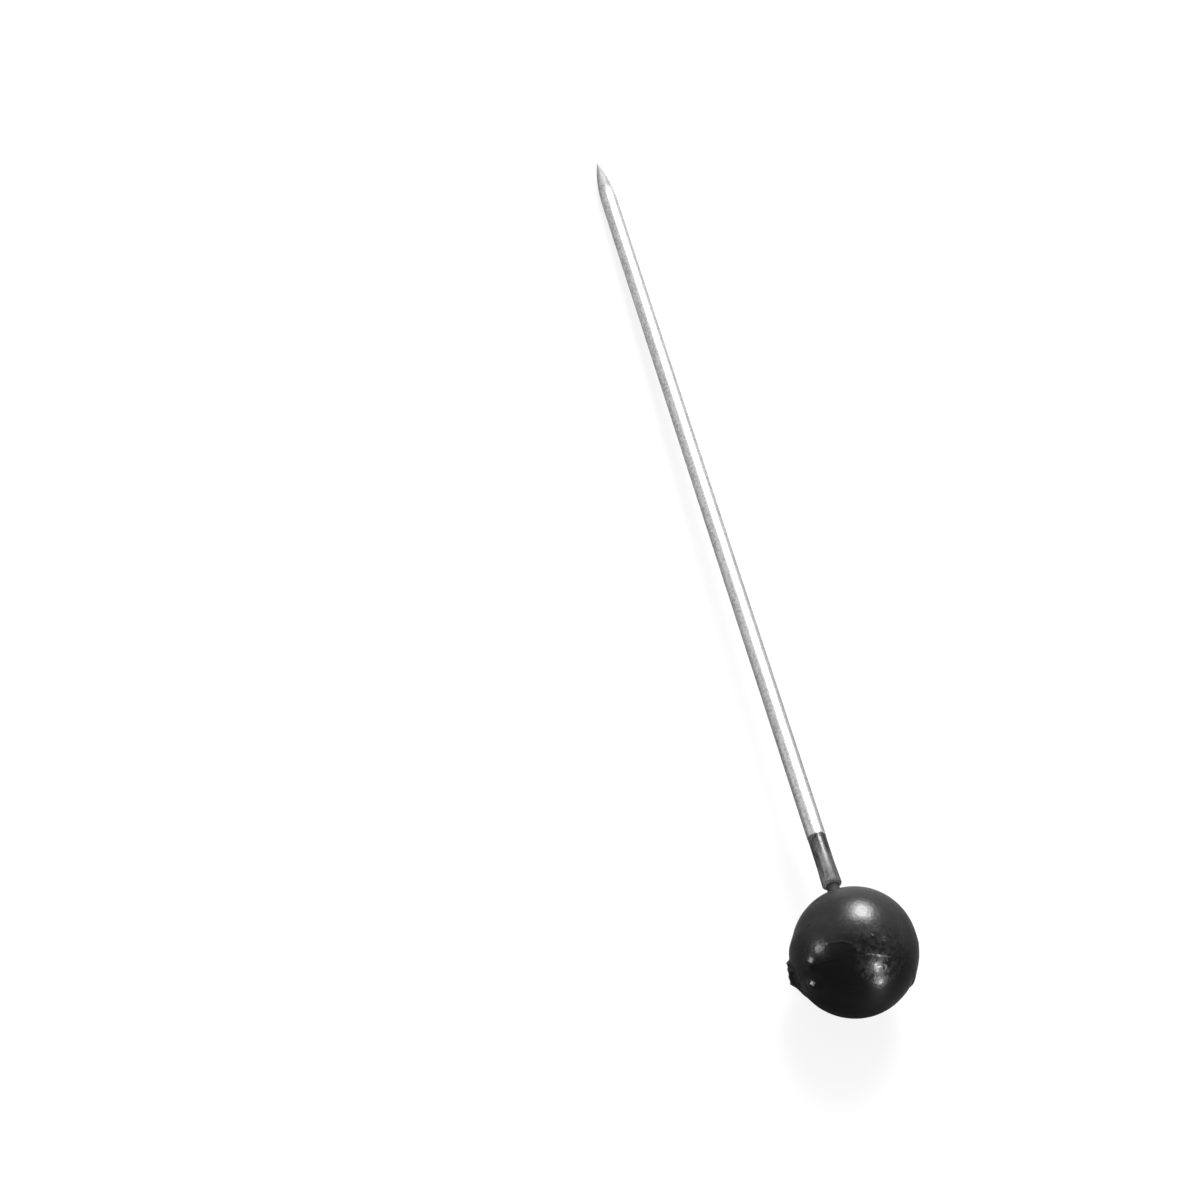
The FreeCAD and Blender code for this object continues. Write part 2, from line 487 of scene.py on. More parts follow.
@dataclass(frozen=True)
class PlatedWire:
    """Bright drawn wire, blackened by heat next to the head. Lengths in millimetres."""

    # Bare metal
    bright: float = 0.97
    dull: float = 0.60
    polish: float = 0.28
    scatter: float = 0.16
    grain_scale: float = 10.0
    streak_scale: float = 7.0
    streak_stretch: float = 0.20
    wear_middle: float = 0.40
    wear_streaks: float = 3.6
    wear_grain: float = 4.2
    bump_height: float = 0.0060
    bump_streaks: float = 0.7
    # Heat stain, from the neck to its ragged end
    stain_end: float = 4.24
    ragged_scale: float = 5.0
    stain_ragged: float = 0.16
    stain_edge: float = 0.03
    # The stain is darker on the -Y side and painted lighter on the +Y side, as painted light from that side
    stain_dark_side: float = 0.062
    stain_painted_light: float = 0.185
    stain_mottle: float = 0.8
    mottle_streaks: float = 7.0
    mottle_grain: float = 2.5
    shiny_stain: float = 0.50
    painted_light_step: tuple[float, float] = (-0.20, 0.28)
    neck_radius: float = 0.215
    neck_level: float = 0.045
    # The cut end face under the shoulder lies in the head's shade; its pale grey is painted light
    cut_end: float = 2.455
    cut_face_painted_light: float = 0.90
    burnt_end: float = 2.4
    shine_start: float = 3.9
    burnt_roughness: float = 0.62
    stain_roughness: float = 0.20
    # Matt ground point
    ground_length: float = 1.90
    ground_fade: float = 0.40
    ground_roughness: float = 0.50
    ground_level: float = 0.42

    def build(self) -> bpy.types.Material:
        """Make the material from three zones: bare metal, heat stain and ground point.

        Returns:
            The material.
        """
        material = bpy.data.materials.new("plated_drawn_wire")
        material.use_nodes = True
        graph = Graph(material.node_tree)
        place = REST.pattern_place(graph)
        along = graph.add("ShaderNodeSeparateXYZ", None, {"Vector": place}, "X")
        aside = graph.add("ShaderNodeSeparateXYZ", None, {"Vector": place}, "Y")
        from_axis = graph.vector("LENGTH", graph.vector("MULTIPLY", place, (0.0, 1.0, 1.0)), output="Value")
        drawn_out = graph.vector("MULTIPLY", place, (self.streak_stretch, 1.0, 1.0))
        streaks = graph.noise(drawn_out, self.streak_scale, *ROUGH_NOISE)
        grain = graph.noise(place, self.grain_scale, *ROUGH_NOISE)
        wear = graph.math("ADD", self.wear_middle + streaks * self.wear_streaks, grain * self.wear_grain,
                          clamp=True)
        point_start = REST.centre_to_tip - self.ground_length
        ground = graph.smooth(along, point_start - self.ground_fade, point_start + self.ground_fade)
        bare = graph.mix(wear, self.bright, self.dull) * graph.mix(ground, 1.0, self.ground_level)
        bare_roughness = graph.mix(ground, self.polish + self.scatter * wear, self.ground_roughness)

        edge = along + graph.noise(place, self.ragged_scale, *ROUGH_NOISE) * self.stain_ragged
        stained = 1.0 - graph.smooth(edge, self.stain_end - self.stain_edge, self.stain_end + self.stain_edge)
        mottle = graph.math("ADD", streaks * self.mottle_streaks, grain * self.mottle_grain)
        # Painted light: the stain is painted lighter towards +Y, where light from the side would fall
        lit_share = graph.smooth(aside, *self.painted_light_step)
        shine = graph.smooth(along, self.burnt_end, self.shine_start)
        stain = graph.mix(lit_share, self.stain_dark_side, self.stain_painted_light) * (1.0 + self.stain_mottle * mottle)
        stain = stain * graph.mix(shine, 1.0, self.shiny_stain)
        on_neck = graph.math("LESS_THAN", from_axis, self.neck_radius)
        # Painted light: the shaded cut end face is painted pale, the neck keeps a dark stain
        end_face = graph.mix(on_neck, self.cut_face_painted_light, self.neck_level)
        stain = graph.mix(graph.math("LESS_THAN", along, self.cut_end), stain, end_face)
        stain_roughness = graph.mix(shine, self.burnt_roughness, self.stain_roughness)

        bump = graph.add("ShaderNodeBump", None, {"Strength": 1.0, "Distance": self.bump_height * MM,
                                                  "Height": grain + self.bump_streaks * streaks})
        shader = graph.add("ShaderNodeBsdfPrincipled", None, {
            "Base Color": graph.grey_colour(graph.mix(stained, bare, stain)),
            "Metallic": (1.0 - stained) * (1.0 - ground),
            "Roughness": graph.mix(stained, bare_roughness, stain_roughness),
            "Normal": bump,
        })
        graph.add("ShaderNodeOutputMaterial", None, {"Surface": shader})
        return material


@dataclass(frozen=True)
class RoughPatch:
    """Where the head's skin is roughest, by the two angles of a mark, and how it fades (cosines)."""

    from_wire: float = 125.0
    turn: float = -12.0
    edge: float = 0.84
    middle: float = 0.96

    @property
    def way(self) -> np.ndarray:
        """Direction of its middle."""
        return on_head(self.from_wire, self.turn)

    def cover(self, graph: Graph, place: Value) -> Value:
        """Return 1 in the patch and 0 away from it.

        Args:
            graph: the node tree.
            place: the point in the pin's frame.

        Returns:
            The cover.
        """
        outward = graph.vector("NORMALIZE", place)
        return graph.smooth(graph.dot(outward, tuple(self.way)), self.edge, self.middle)


@dataclass(frozen=True)
class MouldedPlastic:
    """Black plastic with the skin of its mould, duller on the wire's side, where it is also painted lighter
    as sheen. Lengths in millimetres.
    """

    level: float = 0.008
    haze_and_sheen: float = 0.007
    gloss: float = 0.21
    dulled: float = 0.08
    gloss_spread: float = 0.08
    ior: float = 1.5
    cloud_scale: float = 1.6
    peel_scale: float = 7.0
    peel_octaves: tuple[float, float] = (3.0, 0.55)
    peel_height: float = 0.0060
    grain_scale: float = 15.0
    grain_octaves: tuple[float, float] = (2.0, 0.5)
    grain_height: float = 0.0022
    # Border of the duller side, which is also painted lighter as sheen, along the mould's axis, and how the
    # patterns push it about
    dull_sheen_side: tuple[float, float] = (-0.9, -0.1)
    dull_sheen_clouds: float = 0.8
    dull_sheen_peel: float = 0.3
    haze_and_sheen_step: tuple[float, float] = (-0.2, 0.3)
    haze_and_sheen_peel: float = 0.4
    gloss_peel: float = 0.5
    patch: RoughPatch = RoughPatch()
    patch_dulled: float = 0.20
    patch_step: tuple[float, float] = (-0.15, 0.15)

    def build(self) -> bpy.types.Material:
        """Make the material, duller by patches and painted lighter in cloudy patches on the wire's side as
        haze and painted sheen, with the fine peel of its mould.

        Returns:
            The material.
        """
        material = bpy.data.materials.new("moulded_black_plastic")
        material.use_nodes = True
        graph = Graph(material.node_tree)
        place = REST.pattern_place(graph)
        clouds = graph.noise(place, self.cloud_scale, *ROUGH_NOISE)
        peel = graph.noise(place, self.peel_scale, *self.peel_octaves)
        grain = graph.noise(place, self.grain_scale, *self.grain_octaves)
        toward_wire = graph.dot(place, tuple(REST.mould_axis))
        dull = graph.smooth(toward_wire + self.dull_sheen_clouds * clouds + self.dull_sheen_peel * peel, *self.dull_sheen_side)
        haze_and_sheen_patches = graph.smooth(clouds + self.haze_and_sheen_peel * peel, *self.haze_and_sheen_step)
        # Painted sheen: the wire's side, towards the back lamp, is painted lighter in cloudy patches, partly
        # the haze of its duller skin
        level = self.level + self.haze_and_sheen * dull * haze_and_sheen_patches
        rough = self.gloss + self.dulled * dull + self.gloss_spread * (clouds + self.gloss_peel * peel)
        worn = self.patch.cover(graph, place) * graph.smooth(peel, *self.patch_step)
        rough = rough + self.patch_dulled * worn
        height = self.peel_height * MM * peel + self.grain_height * MM * grain
        bump = graph.add("ShaderNodeBump", None, {"Strength": 1.0, "Distance": 1.0, "Height": height})
        shader = graph.add("ShaderNodeBsdfPrincipled", None, {
            "Base Color": graph.grey_colour(level),
            "Roughness": rough,
            "IOR": self.ior,
            "Normal": bump,
        })
        graph.add("ShaderNodeOutputMaterial", None, {"Surface": shader})
        return material


# The wire


@dataclass
class Wire:
    """The wire: tang, square shoulder, pinched grip, shaft and ground point. Millimetres."""

    tang_radius: float = 0.20
    tang_end: float = 1.20
    tang_chamfer: float = 0.03
    tang_end_share: float = 0.86
    tang_rings: int = 8
    shoulder: float = 2.44
    shoulder_radius: float = 0.31
    shoulder_round: float = 0.035
    flare_end: float = 3.15
    grip_radius: float = 0.2875
    grip_end: float = 4.10
    grip_runout: float = 0.28
    radius: float = 0.30
    point_curve: float = 9.90
    point_rings: int = 64
    tip_radius: float = 0.015
    tip_cap: float = 0.004
    sides: int = 96
    ring_pitch: float = 0.045
    # Drawing lines and pits, which start a little past the shoulder
    free_from: float = 0.02
    line_depth: float = 0.0022
    line_scale: float = 13.0
    line_stretch: float = 0.035
    pit_depth: float = 0.004
    pit_scale: float = 6.5
    pit_stretch: float = 0.5
    pit_step: tuple[float, float] = (0.10, 0.22)

    def profile(self) -> list[tuple[float, float]]:
        """Work out the stations that the wire's surface runs through.

        Returns:
            Place along the wire and radius of each, from the end of the tang to the tip.
        """
        tip, start = REST.centre_to_tip, REST.point_start
        corner = self.shoulder_round
        stations = [(-self.tang_end, self.tang_radius * self.tang_end_share),
                    (-self.tang_end + self.tang_chamfer, self.tang_radius)]
        stations += [(x, self.tang_radius) for x in np.linspace(0.0, self.shoulder - corner, self.tang_rings)]
        stations.append((self.shoulder, self.tang_radius + corner))
        stations.append((self.shoulder + 0.002, self.shoulder_radius - corner))
        stations.append((self.shoulder + 0.3 * corner, self.shoulder_radius - 0.3 * corner))
        stations.append((self.shoulder + corner, self.shoulder_radius))
        breaks = (self.shoulder + corner, self.flare_end, self.grip_end,
                  self.grip_end + self.grip_runout, start)
        radii = (self.shoulder_radius, self.grip_radius, self.grip_radius, self.radius, self.radius)
        count = round((start - breaks[0]) / self.ring_pitch)
        for x in np.linspace(breaks[0], start, count)[1:]:
            stations.append((float(x), float(np.interp(x, breaks, radii))))
        for x in np.linspace(start, tip, self.point_rings)[1:]:
            stations.append((float(x), self._point_radius(float(x))))
        stations.append((tip + self.tip_cap, self.tip_radius / 2.0))
        return stations

    def _point_radius(self, x: float) -> float:
        """Return the ground flank's radius at a place along the point.

        Args:
            x: place along the wire.

        Returns:
            The radius there.
        """
        start = np.array([REST.point_start, self.radius])
        tip = np.array([REST.centre_to_tip, self.tip_radius])
        chord = tip - start
        length = float(np.linalg.norm(chord))
        left = np.array([-chord[1], chord[0]]) / length
        centre = (start + tip) / 2.0 - left * math.sqrt(self.point_curve ** 2 - (length / 2.0) ** 2)
        return float(centre[1] + math.sqrt(self.point_curve ** 2 - (x - centre[0]) ** 2))

    def _outline(self) -> bpy.types.Mesh:
        """Draw the stations as a line of edges.

        Returns:
            The line, with each station's radius as an attribute.
        """
        stations = self.profile()
        mesh = bpy.data.meshes.new("wire_outline")
        edges = [(index, index + 1) for index in range(len(stations) - 1)]
        mesh.from_pydata([(x, 0.0, 0.0) for x, _ in stations], edges, [])
        radius = mesh.attributes.new("ring_radius", "FLOAT", "POINT")
        radius.data.foreach_set("value", [r for _, r in stations])
        return mesh

    def _tree(self) -> ShapeGraph:
        """Make the tree that sweeps a circle along the line and draws the surface out.

        Returns:
            The tree.
        """
        graph = ShapeGraph("drawn_wire")
        sides, shoulder = graph.given("Sides", "Int"), graph.given("Shoulder")
        line_depth, line_scale = graph.given("Line depth"), graph.given("Line scale")
        pit_depth, pit_scale = graph.given("Pit depth"), graph.given("Pit scale")
        line = graph.add("GeometryNodeMeshToCurve", None, {"Mesh": graph.geometry})
        circle = graph.add("GeometryNodeCurvePrimitiveCircle", {"mode": "RADIUS"},
                           {"Resolution": sides, "Radius": 1.0})
        radius = graph.add("GeometryNodeInputNamedAttribute", {"data_type": "FLOAT"}, {"Name": "ring_radius"})
        swept = graph.add("GeometryNodeCurveToMesh", None,
                          {"Curve": line, "Profile Curve": circle, "Scale": radius, "Fill Caps": True})
        place = graph.add("GeometryNodeInputPosition")
        across = graph.vector("MULTIPLY", place, (0.0, 1.0, 1.0))
        outward = graph.vector("NORMALIZE", across)
        along = graph.add("ShaderNodeSeparateXYZ", None, {"Vector": place}, "X")
        long_place = graph.vector("MULTIPLY", place, (self.line_stretch, 1.0, 1.0))
        lines = graph.noise(long_place, line_scale, *ROUGH_NOISE)
        pit_place = graph.vector("MULTIPLY", place, (self.pit_stretch, 1.0, 1.0))
        pits = graph.smooth(graph.noise(pit_place, pit_scale, *ROUGH_NOISE), *self.pit_step)
        free = graph.math("GREATER_THAN", along, shoulder)
        offset = outward * ((lines * line_depth - pits * pit_depth) * free)
        moved = graph.add("GeometryNodeSetPosition", None, {"Geometry": swept, "Offset": offset})
        graph.close(moved)
        return graph

    def build(self, finish: PlatedWire) -> bpy.types.Object:
        """Make the wire and dress it.

        Args:
            finish: its finish.

        Returns:
            The piece.
        """
        mesh = self._tree().run(self._outline(), {
            "Sides": self.sides,
            "Shoulder": self.shoulder + self.free_from,
            "Line depth": self.line_depth,
            "Line scale": self.line_scale,
            "Pit depth": self.pit_depth,
            "Pit scale": self.pit_scale,
            "Material": finish.build(),
        })
        return add_piece("drawn_wire", mesh, Node.WIRE)


# The head


@dataclass(frozen=True)
class Mark:
    """A moulding mark on the head, in millimetres.

    Its place is two angles: from the wire, and round it from the top towards the gate. A ridge has such a
    place for its end too. A ring is half as wide as its radius.
    """

    kind: MarkKind
    from_wire: float
    turn: float
    size: float
    height: float
    end: tuple[float, float] | None = None

    def rise(self, points: np.ndarray) -> np.ndarray:
        """Return how far the mark raises each point of the head.

        Args:
            points: places on the head.

        Returns:
            One height for each.
        """
        length = np.linalg.norm(points, axis=1)
        start = on_head(self.from_wire, self.turn)
        if self.end is None:
            gap = np.linalg.norm(points - length[:, None] * start, axis=1)
        else:
            run = on_head(*self.end) - start
            flat = points / length[:, None] - start
            share = np.clip(flat @ run / (run @ run), 0.0, 1.0)
            gap = np.linalg.norm(flat - share[:, None] * run, axis=1) * length
        if self.kind is MarkKind.RING:
            gap = np.abs(gap - self.size) * 2.0
        return self.height * np.exp(-((gap / self.size) ** 2))


# Kind, angle from the wire, turn round it, size, height, and the end of a ridge
MARKS = (
    Mark(MarkKind.RIDGE, 121.9, 81.1, 0.135, 0.112, (126.1, 78.7)),
    Mark(MarkKind.RIDGE, 107.0, 66.4, 0.170, 0.050, (111.0, 65.2)),
    Mark(MarkKind.LUMP, 96.0, -80.0, 0.120, 0.016),
    Mark(MarkKind.LUMP, 113.0, -14.7, 0.045, 0.030),
    Mark(MarkKind.LUMP, 110.3, -3.5, 0.045, 0.028),
    Mark(MarkKind.LUMP, 76.8, 51.3, 0.050, 0.030),
    Mark(MarkKind.LUMP, 117.5, 15.1, 0.090, 0.030),
    Mark(MarkKind.RING, 137.3, -14.9, 0.085, 0.008),
    Mark(MarkKind.RIDGE, 104.4, 38.0, 0.035, 0.010, (108.3, 25.5)),
    Mark(MarkKind.RIDGE, 108.3, 25.5, 0.035, 0.010, (113.3, 17.6)),
)


@dataclass
class BallHead:
    """The moulded head: two unlike halves, their band, the gate stub and the bead. Millimetres."""

    near_radius: float = 1.90
    near_offset: float = 0.045
    near_shift: float = 0.025
    near_lift: float = 0.03
    seam_at: float = 0.10
    seam_blend: float = 0.50
    # Waves of the seam: how many go round, height and phase
    seam_waves: tuple[tuple[float, float, float], ...] = (
        (3.0, 0.022, 0.6),
        (7.0, 0.014, 2.1),
        (17.0, 0.008, 1.0),
    )
    ledge_at: float = 0.935
    ledge_fall: float = 0.05
    ridge_rise: float = 0.045
    ridge_run: float = 0.22
    flush_way: tuple[float, float, float] = (-0.58, 0.20, 0.79)
    flush_share: float = 0.05
    flush_step: tuple[float, float] = (0.0, 0.45)
    gate_yaw: float = -5.3
    gate_roll: float = -10.9
    gate_back: float = 0.27
    gate_drop: float = 0.17
    gate_face: float = 2.03
    gate_radius: float = 0.325
    gate_flank: float = 45.0
    gate_round: float = 0.04
    torn_height: float = 0.022
    # Waves of the torn face, along X and along Z: radians in a millimetre, and phase
    torn_waves: tuple[tuple[float, float], tuple[float, float]] = ((23.0, 0.7), (17.0, 1.9))
    bead_top: float = 1.99
    bead_radius: float = 0.28
    bead_flank: float = 58.0
    bead_round: float = 0.05
    # How far out a cone is raised, in radii of its flat end
    cone_reach: float = 3.0
    # Mesh
    segments: int = 400
    rings: int = 236
    ring_steps: int = 2000
    ledge_crowding: float = 1.6
    ledge_zone: float = 0.12
    sag_scale: float = 1.1
    sag_height: float = 0.010
    peel_scale: float = 4.0
    peel_height: float = 0.0070
    pimple_density: float = 1.0
    pimple_radius: float = 0.065
    pimple_height: float = 0.007
    # How unlike the pimples are: scale of the pattern, its strength, and the middle height
    unlike_scale: float = 2.3
    unlike_spread: float = 3.0
    unlike_middle: float = 0.4
    patch_peel: float = 0.6
    patch_density: float = 2.0
    seed: int = 11

    def _polar_angles(self) -> np.ndarray:
        """Space the rings, closer together at the ledge.

        Returns:
            The angle of each ring from the mould's axis, radians.
        """
        even = np.linspace(0.0, math.pi, self.ring_steps)
        ledge = math.acos(-self.ledge_at / REST.band_radius)
        crowding = 1.0 + self.ledge_crowding * np.exp(-(((even - ledge) / self.ledge_zone) ** 2))
        share = np.cumsum(crowding)
        share = (share - share[0]) / (share[-1] - share[0])
        return np.interp(np.linspace(0.0, 1.0, self.rings), share, even)

    def _plain_reach(self, ways: np.ndarray, turns: np.ndarray) -> np.ndarray:
        """Return how far the two halves and their band stand from the middle of the head.

        Args:
            ways: directions of length one.
            turns: angle round the mould's axis of each, radians.

        Returns:
            One length for each direction.
        """
        axis = REST.mould_axis
        out_of_line = np.array([0.0, -self.near_shift, self.near_lift])
        near = reach(ways, axis * self.near_offset + out_of_line, self.near_radius)
        band = reach(ways, -axis * REST.band_offset, REST.band_radius)
        far = reach(ways, -axis * REST.far_offset, REST.far_radius)
        back = -band * (ways @ axis)
        wander = sum(height * np.sin(count * turns + phase) for count, height, phase in self.seam_waves)
        facing = smooth_step(ways @ unit(self.flush_way), *self.flush_step)
        rise = self.ridge_rise * (1.0 - (1.0 - self.flush_share) * facing)
        slope = np.clip(1.0 + (back + wander - self.ledge_at) / self.ridge_run, 0.0, 1.0)
        on_band = smooth_step(back + wander, -self.seam_at - self.seam_blend, -self.seam_at)
        past_ledge = smooth_step(back + wander, self.ledge_at, self.ledge_at + self.ledge_fall)
        side = near + (band + rise * slope - near) * on_band
        return side + (far - side) * past_ledge

    def _shell(self) -> tuple[np.ndarray, list[tuple[int, ...]]]:
        """Turn rings of points round the mould's axis.

        Returns:
            The points, and the faces between them.
        """
        axis = REST.mould_axis
        first = unit(np.cross(axis, (0.0, 1.0, 0.0)))
        second = np.cross(axis, first)
        turns = np.arange(self.segments) * 2.0 * math.pi / self.segments
        ring = np.cos(turns)[:, None] * first + np.sin(turns)[:, None] * second
        polar = self._polar_angles()
        rows = [math.cos(angle) * axis + math.sin(angle) * ring for angle in polar[1:-1]]
        ways = np.concatenate(rows + [axis[None, :], -axis[None, :]])
        round_axis = np.concatenate([np.tile(turns, len(rows)), (0.0, 0.0)])
        points = ways * self._plain_reach(ways, round_axis)[:, None]
        faces: list[tuple[int, ...]] = []
        count, total = self.segments, len(rows)
        for row in range(total - 1):
            for column in range(count):
                after = (column + 1) % count
                faces.append((row * count + column, (row + 1) * count + column,
                              (row + 1) * count + after, row * count + after))
        near_pole, far_pole = total * count, total * count + 1
        for column in range(count):
            after = (column + 1) % count
            faces.append((near_pole, column, after))
            faces.append((far_pole, (total - 1) * count + after, (total - 1) * count + column))
        return points, faces

    def _raise_cone(self, points: np.ndarray, base: np.ndarray, axis: np.ndarray,
                    face: np.ndarray | float, radius: float, flank: float, blend: float) -> np.ndarray:
        """Raise a low cone out of the head.

        Args:
            points: places on the head.
            base: a point on the cone's axis.
            axis: the cone's axis.
            face: height of its flat end above the base.
            radius: radius of its flat end.
            flank: slope of its flank from the flat end, degrees.
            blend: width of the rounding at its foot.

        Returns:
            The places, raised where the cone stands out.
        """
        offset = points - base
        height = offset @ axis
        out = np.linalg.norm(offset - height[:, None] * axis, axis=1)
        cone = face - np.maximum(0.0, out - radius) * math.tan(math.radians(flank))
        raised = soft_max(height, cone, blend)
        ahead = (height > 0.0) & (raised > height) & (out < self.cone_reach * radius)
        return points + np.where(ahead, raised - height, 0.0)[:, None] * axis

    def _dress(self, points: np.ndarray) -> np.ndarray:
        """Add the gate stub, the bead and the moulding marks.

        Args:
            points: places on the plain head.

        Returns:
            The finished places.
        """
        yaw, roll = math.radians(self.gate_yaw), math.radians(self.gate_roll)
        gate = np.array([-math.sin(yaw), math.cos(yaw) * math.cos(roll), math.cos(yaw) * math.sin(roll)])
        base = np.array([-self.gate_back, 0.0, -self.gate_drop])
        offset = points - base
        (x_rate, x_phase), (z_rate, z_phase) = self.torn_waves
        torn = (self.torn_height * np.sin(x_rate * offset[:, 0] + x_phase)
                * np.sin(z_rate * offset[:, 2] + z_phase))
        points = self._raise_cone(points, base, unit(gate), self.gate_face + torn, self.gate_radius,
                                  self.gate_flank, self.gate_round)
        points = self._raise_cone(points, np.zeros(3), np.array([1.0, 0.0, 0.0]), self.bead_top,
                                  self.bead_radius, self.bead_flank, self.bead_round)
        rise = sum(mark.rise(points) for mark in MARKS)
        return points + rise[:, None] * points / np.linalg.norm(points, axis=1)[:, None]

    def _tree(self, patch: RoughPatch) -> ShapeGraph:
        """Make the tree that gives the head its uneven skin and scattered pimples.

        Args:
            patch: where the skin is roughest.

        Returns:
            The tree.
        """
        graph = ShapeGraph("moulded_skin")
        sag, peel = graph.given("Sag height"), graph.given("Peel height")
        density, radius = graph.given("Pimple density"), graph.given("Pimple radius")
        height, seed = graph.given("Pimple height"), graph.given("Seed", "Int")
        patch_peel, patch_density = graph.given("Patch peel"), graph.given("Patch density")
        place = graph.add("GeometryNodeInputPosition")
        cover = patch.cover(graph, place)
        outward = graph.add("GeometryNodeInputNormal")
        spots = graph.add("GeometryNodeDistributePointsOnFaces", {"distribute_method": "RANDOM"},
                          {"Mesh": graph.geometry, "Density": density + patch_density * cover, "Seed": seed},
                          "Points")
        gap = graph.add("GeometryNodeProximity", {"target_element": "POINTS"},
                        {"Geometry": spots, "Sample Position": place}, "Distance")
        pimple = graph.math("SUBTRACT", 1.0, (gap / radius) ** 2.0, clamp=True) ** 2.0
        unlike = graph.noise(place, self.unlike_scale, *SOFT_NOISE) * self.unlike_spread + self.unlike_middle
        skin = graph.noise(place, self.sag_scale, *SOFT_NOISE) * sag
        skin = skin + graph.noise(place, self.peel_scale, *SOFT_NOISE) * peel * (1.0 + patch_peel * cover)
        offset = outward * (skin + pimple * unlike * height)
        moved = graph.add("GeometryNodeSetPosition", None, {"Geometry": graph.geometry, "Offset": offset})
        graph.close(moved)
        return graph

    def build(self, finish: MouldedPlastic) -> bpy.types.Object:
        """Make the head and dress it.

        Args:
            finish: its finish.

        Returns:
            The piece.
        """
        points, faces = self._shell()
        mesh = bpy.data.meshes.new("head_shell")
        mesh.from_pydata([tuple(point) for point in self._dress(points)], [], faces)
        mesh = self._tree(finish.patch).run(mesh, {
            "Sag height": self.sag_height,
            "Peel height": self.peel_height,
            "Pimple density": self.pimple_density,
            "Pimple radius": self.pimple_radius,
            "Pimple height": self.pimple_height,
            "Patch peel": self.patch_peel,
            "Patch density": self.patch_density,
            "Seed": self.seed,
            "Material": finish.build(),
        })
        return add_piece("moulded_head", mesh, Node.HEAD)


# The studio


@dataclass(frozen=True)
class Softbox:
    """A soft lamp, brightest in its middle, placed by its direction from the head. Metres and degrees."""

    name: str
    azimuth: float
    elevation: float
    width: float
    height: float
    radiance: float
    distance: float = 0.40
    falloff: float = 1.5
    halo: float = 0.0
    halo_fade: tuple[float, float] = (0.20, 0.90)

    def _glow(self, tree: bpy.types.NodeTree) -> None:
        """Let the lamp fade from its middle to its rim.

        Args:
            tree: the lamp's nodes.
        """
        graph = Graph(tree)
        place = graph.add("ShaderNodeNewGeometry", output="Parametric")
        from_middle = graph.vector("SUBTRACT", place, (0.5, 0.5, 0.0))
        gap = graph.dot(from_middle, from_middle) * 4.0
        halo = self.halo * (1.0 - graph.smooth(gap, *self.halo_fade))
        strength = graph.math("EXPONENT", gap * -self.falloff) + halo
        emission = graph.add("ShaderNodeEmission", None, {"Color": grey(1.0), "Strength": strength})
        graph.add("ShaderNodeOutputLight", None, {"Surface": emission})

    def build(self) -> bpy.types.Object:
        """Make the lamp and turn it to the head.

        Returns:
            The lamp.
        """
        data = bpy.data.lights.new(self.name, "AREA")
        data.shape = "RECTANGLE"
        data.size = self.width
        data.size_y = self.height
        data.energy = self.radiance * math.pi * self.width * self.height
        data.use_nodes = True
        self._glow(data.node_tree)
        lamp = bpy.data.objects.new(self.name, data)
        way = aim(self.azimuth, self.elevation)
        lamp.location = REST.matrix.to_translation() + way * self.distance
        lamp.rotation_euler = way.to_track_quat("Z", "Y").to_euler()
        bpy.context.scene.collection.objects.link(lamp)
        log.info("%s: radiance %.1f", self.name, self.radiance)
        return lamp


@dataclass(frozen=True)
class Viewpoint:
    """The camera, by the point it turns about. Millimetres and degrees."""

    target: tuple[float, float, float] = (-1.4447, 4.2843, 0.0)
    distance: float = 91.6459
    azimuth: float = 161.3853
    elevation: float = 52.0
    roll: float = 8.16
    focal_pixels: float = 2729.15
    sensor: float = 36.0
    nearest: float = 5.0
    farthest: float = 10000.0

    def build(self) -> bpy.types.Object:
        """Make the camera and make it the scene's.

        Returns:
            The camera.
        """
        back = aim(self.azimuth, self.elevation)
        level = Vector((0.0, 0.0, 1.0)).cross(back).normalized()
        right = Matrix.Rotation(math.radians(self.roll), 3, back) @ level
        up = back.cross(right)
        data = bpy.data.cameras.new("camera")
        data.sensor_width = self.sensor
        data.lens = self.focal_pixels * self.sensor / PHOTO_SIDE
        data.clip_start = self.nearest * MM
        data.clip_end = self.farthest * MM
        camera = bpy.data.objects.new("camera", data)
        camera.matrix_world = Matrix((right, up, back)).transposed().to_4x4()
        camera.location = (Vector(self.target) + back * self.distance) * MM
        bpy.context.scene.collection.objects.link(camera)
        bpy.context.scene.camera = camera
        return camera


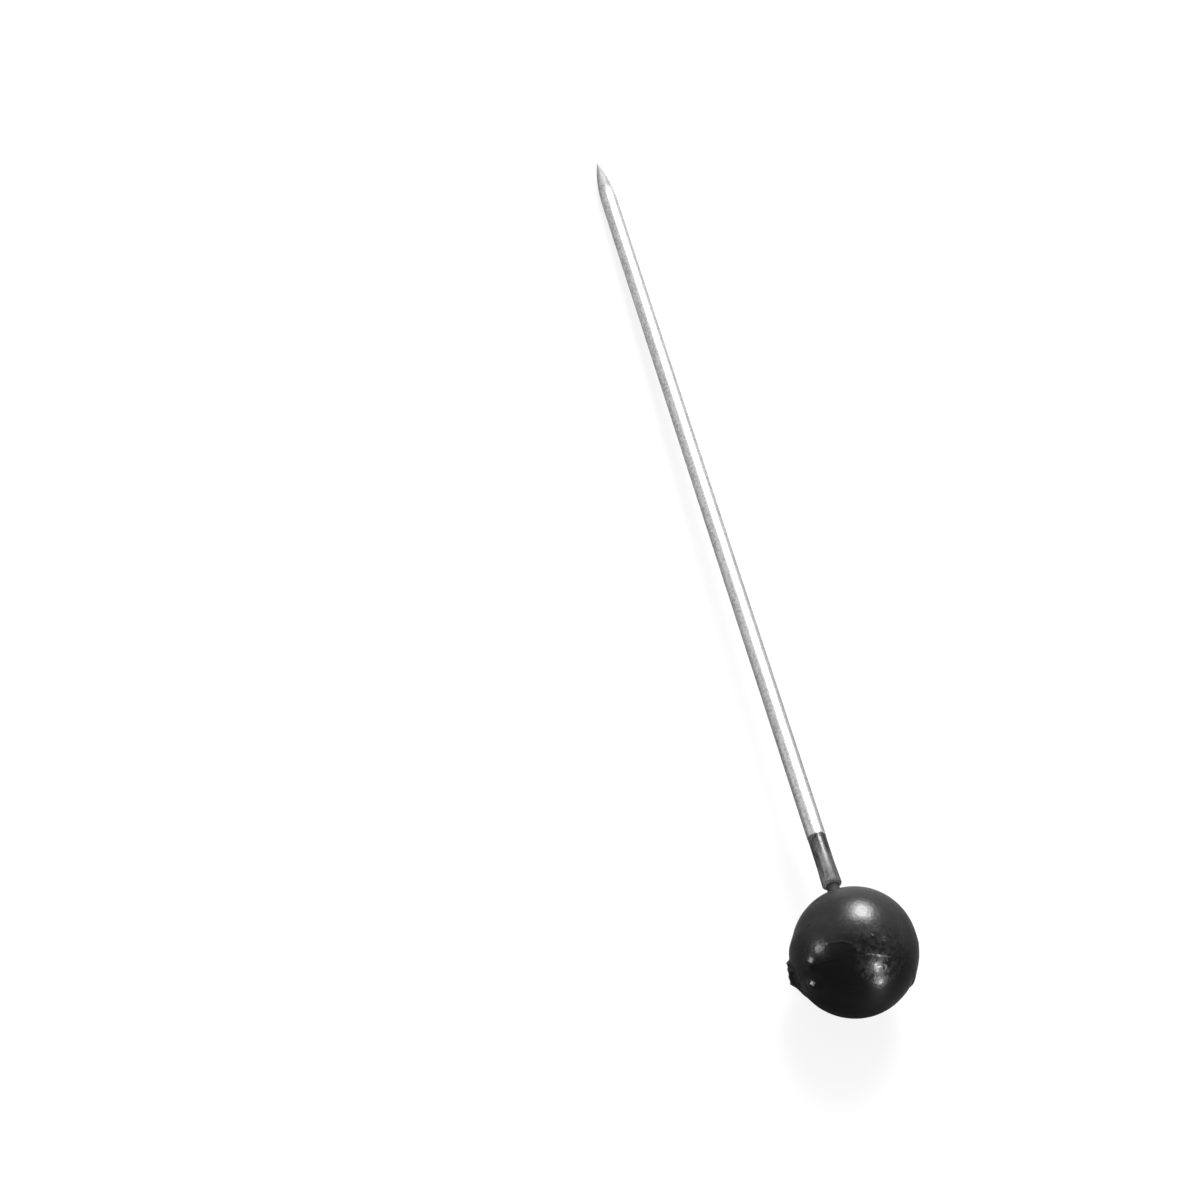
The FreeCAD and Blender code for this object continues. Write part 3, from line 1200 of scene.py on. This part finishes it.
@dataclass
class Studio:
    """Pale floor, soft lamps, surroundings that are lighter behind the pin, and the camera."""

    floor_side: float = 3.0
    floor_level: float = 0.18
    floor_lift: float = 0.84
    dark_floor: float = 0.04
    light_floor: float = 0.25
    floor_change: tuple[float, float] = (-0.030, 0.010)
    floor_gloss: float = 0.55
    dark_room: float = 0.08
    light_room: float = 0.53
    room_change: tuple[float, float] = (-0.4, 0.5)
    lamps: tuple[Softbox, ...] = (
        Softbox("back_softbox", azimuth=-20.0, elevation=43.5, distance=0.45, width=0.62, height=0.62,
                radiance=36.0, falloff=12.5, halo=0.007),
        Softbox("side_softbox", azimuth=82.0, elevation=16.5, width=0.045, height=0.090, radiance=34.0),
        Softbox("upper_softbox", azimuth=-152.0, elevation=30.0, width=0.090, height=0.118, radiance=46.0),
        Softbox("lower_softbox", azimuth=-155.0, elevation=4.5, width=0.062, height=0.088, radiance=54.0),
    )

    def _floor(self) -> bpy.types.Object:
        """Make the floor: pale to the camera, and darker in front of the pin for what reflects it.

        Returns:
            The floor.
        """
        half = self.floor_side / 2.0
        mesh = bpy.data.meshes.new("floor")
        mesh.from_pydata([(-half, -half, 0.0), (half, -half, 0.0), (half, half, 0.0), (-half, half, 0.0)],
                         [], [(0, 1, 2, 3)])
        material = bpy.data.materials.new("floor_paper")
        material.use_nodes = True
        graph = Graph(material.node_tree)
        camera_ray = graph.add("ShaderNodeLightPath", output="Is Camera Ray")
        paper = graph.add("ShaderNodeBsdfDiffuse", None, {"Color": grey(self.floor_level)})
        lift = graph.add("ShaderNodeEmission", None, {"Color": grey(1.0), "Strength": self.floor_lift})
        shown = graph.add("ShaderNodeAddShader", None, {0: paper, 1: lift})
        place = graph.add("ShaderNodeTexCoord", output="Object")
        ahead = graph.add("ShaderNodeSeparateXYZ", None, {"Vector": place}, "X")
        level = graph.mix(graph.smooth(ahead, *self.floor_change), self.dark_floor, self.light_floor)
        mirrored = graph.add("ShaderNodeBsdfPrincipled", None,
                             {"Base Color": graph.grey_colour(level), "Roughness": self.floor_gloss})
        both = graph.add("ShaderNodeMixShader", None, {0: camera_ray, 1: mirrored, 2: shown})
        graph.add("ShaderNodeOutputMaterial", None, {"Surface": both})
        mesh.materials.append(material)
        floor = bpy.data.objects.new("floor", mesh)
        bpy.context.scene.collection.objects.link(floor)
        return floor

    def _room(self) -> None:
        """Make the surroundings: white to the camera, and for the pin light behind it and dark in front."""
        world = bpy.data.worlds.new("room")
        bpy.context.scene.world = world
        world.use_nodes = True
        graph = Graph(world.node_tree)
        camera_ray = graph.add("ShaderNodeLightPath", output="Is Camera Ray")
        way = graph.add("ShaderNodeTexCoord", output="Generated")
        ahead = graph.add("ShaderNodeSeparateXYZ", None, {"Vector": way}, "X")
        level = graph.mix(graph.smooth(ahead, *self.room_change), self.dark_room, self.light_room)
        shown = graph.mix(camera_ray, level, 1.0)
        background = graph.add("ShaderNodeBackground", None, {"Color": grey(1.0), "Strength": shown})
        graph.add("ShaderNodeOutputWorld", None, {"Surface": background})

    def build(self) -> None:
        """Make everything round the pin."""
        self._floor()
        self._room()
        for lamp in self.lamps:
            lamp.build()
        Viewpoint().build()
        bpy.context.scene.view_settings.view_transform = "Standard"
        log.info("studio: %d lamps", len(self.lamps))


def main() -> None:
    """Build the pin and its studio."""
    logging.basicConfig(level=logging.INFO, format="%(message)s")
    Wire().build(PlatedWire())
    BallHead().build(MouldedPlastic())
    Studio().build()


if __name__ == "__main__":
    main()
